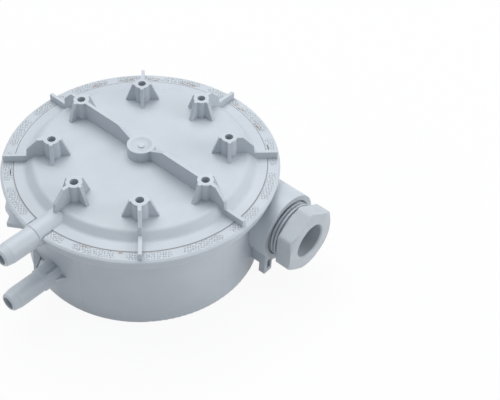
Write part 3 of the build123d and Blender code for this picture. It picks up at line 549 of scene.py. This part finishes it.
seal_outline = [(SEAL_INNER_END, SEAL_BORE + SEAL_ROUND), (SEAL_INNER_END, SEAL_RADIUS - SEAL_ROUND),
                (SEAL_INNER_END + SEAL_ROUND, SEAL_RADIUS), (SEAL_OUTER_END - SEAL_ROUND, SEAL_RADIUS),
                (SEAL_OUTER_END, SEAL_RADIUS - SEAL_ROUND), (SEAL_OUTER_END, SEAL_BORE + SEAL_ROUND),
                (SEAL_OUTER_END - SEAL_ROUND, SEAL_BORE), (SEAL_INNER_END + SEAL_ROUND, SEAL_BORE)]
seal_rings = [gland_ring(along, radius) for along, radius in seal_outline]
seal = piece_from(skin("gland_rubber_seal", seal_rings), black_rubber)
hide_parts("gland_seal")
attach(seal, "housing")
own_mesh(seal)
dress(zinc_steel, "gland_washer")

# Compression screw of the cable gland: hexagonal head with a chamfered front face and a shank with a fine
# thread, turned into the socket until about three crests are left in view. The plastic is a shade darker
# than the housing's.
GLAND_COLOUR = (0.490, 0.530, 0.570)
GLAND_SHADE = (0.455, 0.495, 0.535)
THREAD_START = 44.2 * MM
THREAD_CREST = 10.22 * MM
THREAD_ROOT = 9.3 * MM
THREAD_PITCH = 1.41 * MM
ROWS_A_PITCH = 14
CREST_HALF = 0.2
FLANK = 0.2
HEX_BACK = 52.45 * MM
HEX_FRONT = 58.45 * MM
HEX_ACROSS = 22.0 * MM
HEX_LIP = 0.2 * MM
HEX_ROUND = 0.35 * MM
HEX_ROUND_SHARE = 0.25
HEX_CHAMFER = 0.85 * MM
HEX_FACE_RADIUS = 11.15 * MM
CHAMFER_ROWS = 8
CHAMFER_LEAD = 1.2
CABLE_BORE = 6.4 * MM
BORE_CHAMFER = 0.5 * MM


def thread_radius(along, turn):
    """Rounded trapezoid thread whose crest follows the angle round the shank."""
    phase = along / THREAD_PITCH - turn / (2 * pi)
    phase -= floor(phase)
    rise = min(1.0, max(0.0, (CREST_HALF + FLANK - abs(phase - 0.5)) / FLANK))
    smooth = rise * rise * (3 - 2 * rise)
    return THREAD_ROOT + (THREAD_CREST - THREAD_ROOT) * smooth


def hex_radius(along, turn):
    """Hexagon with slightly rounded corners, cut back by the cone of the front chamfer."""
    part = (turn + pi / 6) % (pi / 3) - pi / 6
    flat = HEX_ACROSS / 2 / cos(part)
    corner = HEX_ACROSS / sqrt(3) - HEX_ROUND
    if flat > corner:
        flat = corner + (flat - corner) * HEX_ROUND_SHARE
    slope = (HEX_ACROSS / sqrt(3) - HEX_FACE_RADIUS) / HEX_CHAMFER
    cone = HEX_FACE_RADIUS + (HEX_FRONT - along) * slope
    return min(flat, cone)


shank = HEX_BACK - THREAD_START
thread_rows = ceil(shank / THREAD_PITCH * ROWS_A_PITCH)
gland_rings = []
for row in range(thread_rows + 1):
    along = THREAD_START + shank * row / thread_rows
    gland_rings.append([gland_point(along, thread_radius(along, turn), turn) for turn in ring_turns])
hex_rows = [HEX_BACK, HEX_BACK + HEX_LIP, HEX_FRONT - HEX_CHAMFER * CHAMFER_LEAD]
hex_rows += [HEX_FRONT - HEX_CHAMFER * (1 - row / CHAMFER_ROWS) for row in range(CHAMFER_ROWS + 1)]
for along in hex_rows:
    gland_rings.append([gland_point(along, hex_radius(along, turn), turn) for turn in ring_turns])
gland_rings.append(gland_ring(HEX_FRONT, CABLE_BORE + BORE_CHAMFER))
gland_rings.append(gland_ring(HEX_FRONT - BORE_CHAMFER, CABLE_BORE))
gland_rings.append(gland_ring(THREAD_START, CABLE_BORE))
gland_plastic = moulded_plastic("gland_plastic", GLAND_COLOUR, GLAND_SHADE)
gland_screw = piece_from(skin("gland_compression_screw", gland_rings), gland_plastic.material)
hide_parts("gland_screw")
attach(gland_screw, "compression_screw")

# Bottom cover: a flat moulded disc let into the underside over the wiring space, on a thin rubber gasket.
# Three of the small screws hold it.
cover_plastic = moulded_plastic("cover_plastic", HOUSING_COLOUR, HOUSING_SHADE, gloss=0.46)
dress(cover_plastic.material, "bottom_cover")
dress(black_rubber, "cover_gasket")

# Floor: a wide pale sweep that the switch stands on. Seen directly it glows almost white, and the rest of
# its paint keeps the shadow.
FLOOR_HALF = 1.5
FLOOR_GLOW = 0.92
FLOOR_GREY = (0.8, 0.8, 0.8, 1.0)
FLOOR_ROUGHNESS = 0.9
WHITE = (1.0, 1.0, 1.0, 1.0)
floor_corners = [(x * FLOOR_HALF, y * FLOOR_HALF, 0) for x, y in ((-1, -1), (1, -1), (1, 1), (-1, 1))]
floor_mesh = bpy.data.meshes.new("pale_floor")
floor_mesh.from_pydata(floor_corners, [], [(0, 1, 2, 3)])


def seen_directly(tree):
    """1 for rays from the camera, from glossy surfaces and through clear ones, else 0."""
    path = tree.nodes.new("ShaderNodeLightPath")
    seen = path.outputs["Is Camera Ray"]
    for kind in ("Is Glossy Ray", "Is Transmission Ray"):
        either = tree.nodes.new("ShaderNodeMath")
        either.operation = "MAXIMUM"
        tree.links.new(seen, either.inputs[0])
        tree.links.new(path.outputs[kind], either.inputs[1])
        seen = either.outputs[0]
    return seen


floor_paint = Finish("floor_paint")
floor_paint.surface.inputs["Base Color"].default_value = FLOOR_GREY
floor_paint.surface.inputs["Roughness"].default_value = FLOOR_ROUGHNESS
glow = floor_paint.node("ShaderNodeEmission")
glow.inputs["Color"].default_value = WHITE
glow.inputs["Strength"].default_value = 1.0
mixed = floor_paint.node("ShaderNodeMixShader")
floor_paint.join(floor_paint.times(seen_directly(floor_paint.tree), FLOOR_GLOW), mixed.inputs[0])
floor_paint.join(floor_paint.surface.outputs[0], mixed.inputs[1])
floor_paint.join(glow.outputs[0], mixed.inputs[2])
floor_paint.join(mixed.outputs[0], floor_paint.tree.nodes["Material Output"].inputs["Surface"])
piece_from(floor_mesh, floor_paint.material)

# Light: a large soft box above and a little behind, as over a product table, a small one at the gland's
# side, and a weak pale room that is white where it is seen directly.
ROOM_TINT = (0.93, 0.96, 1.0, 1.0)
ROOM_STRENGTH = 0.46
LAMP_AIM = Vector((0, 0, 20 * MM))
scene = bpy.context.scene
scene.view_settings.view_transform = "Standard"
world = bpy.data.worlds.new("pale_room")
world.use_nodes = True
scene.world = world
room = world.node_tree
room_light = room.nodes["Background"]
room_light.inputs["Color"].default_value = ROOM_TINT
room_light.inputs["Strength"].default_value = ROOM_STRENGTH
white_room = room.nodes.new("ShaderNodeBackground")
white_room.inputs["Color"].default_value = WHITE
white_room.inputs["Strength"].default_value = 1.0
room_mix = room.nodes.new("ShaderNodeMixShader")
room.links.new(seen_directly(room), room_mix.inputs[0])
room.links.new(room_light.outputs[0], room_mix.inputs[1])
room.links.new(white_room.outputs[0], room_mix.inputs[2])
room.links.new(room_mix.outputs[0], room.nodes["World Output"].inputs["Surface"])


def soft_box(name, place, width, depth, power):
    """Area lamp at a place in metres, facing the switch."""
    lamp = bpy.data.lights.new(name, "AREA")
    lamp.shape = "RECTANGLE"
    lamp.size = width
    lamp.size_y = depth
    lamp.energy = power
    holder = bpy.data.objects.new(name, lamp)
    holder.location = place
    holder.rotation_euler = (LAMP_AIM - Vector(place)).to_track_quat("-Z", "Y").to_euler()
    scene.collection.objects.link(holder)


soft_box("overhead_box", place=(-0.08, 0.28, 0.72), width=0.8, depth=0.6, power=4.5)
soft_box("side_box", place=(0.62, -0.16, 0.30), width=0.4, depth=0.4, power=1.6)

# Camera: a long lens from above the front, at the place and turn that set the rim, the bosses and the
# nipples where the photograph has them. Its place is worked out from the middle of the rim's top.
LENS_MM = 69.97
SENSOR_MM = 36.0
VIEW_DISTANCE = 336.806 * MM
VIEW_TILT = radians(44.43)
VIEW_RIGHT = 38.236 * MM
VIEW_UP = -12.056 * MM
VIEW_ROLL = radians(-3.32)
OBJECT_TURN = radians(6.18)
view_right = Vector((1, 0, 0))
view_back = Vector((0, -cos(VIEW_TILT), sin(VIEW_TILT)))
view_up = Vector((0, sin(VIEW_TILT), cos(VIEW_TILT)))
view_place = view_right * VIEW_RIGHT + view_up * VIEW_UP + view_back * VIEW_DISTANCE
camera_x = view_right * cos(VIEW_ROLL) - view_up * sin(VIEW_ROLL)
camera_y = view_right * sin(VIEW_ROLL) + view_up * cos(VIEW_ROLL)
unturn = Matrix.Rotation(-OBJECT_TURN, 3, "Z")
camera_axes = Matrix((unturn @ camera_x, unturn @ camera_y, unturn @ view_back)).transposed()
camera_spot = unturn @ view_place + Vector((0, 0, rim_top))
camera_data = bpy.data.cameras.new("product_camera")
camera_data.lens = LENS_MM
camera_data.sensor_width = SENSOR_MM
camera_data.clip_start = 10 * MM
camera = bpy.data.objects.new("product_camera", camera_data)
camera.matrix_world = Matrix.Translation(camera_spot) @ camera_axes.to_4x4()
scene.collection.objects.link(camera)
scene.camera = camera
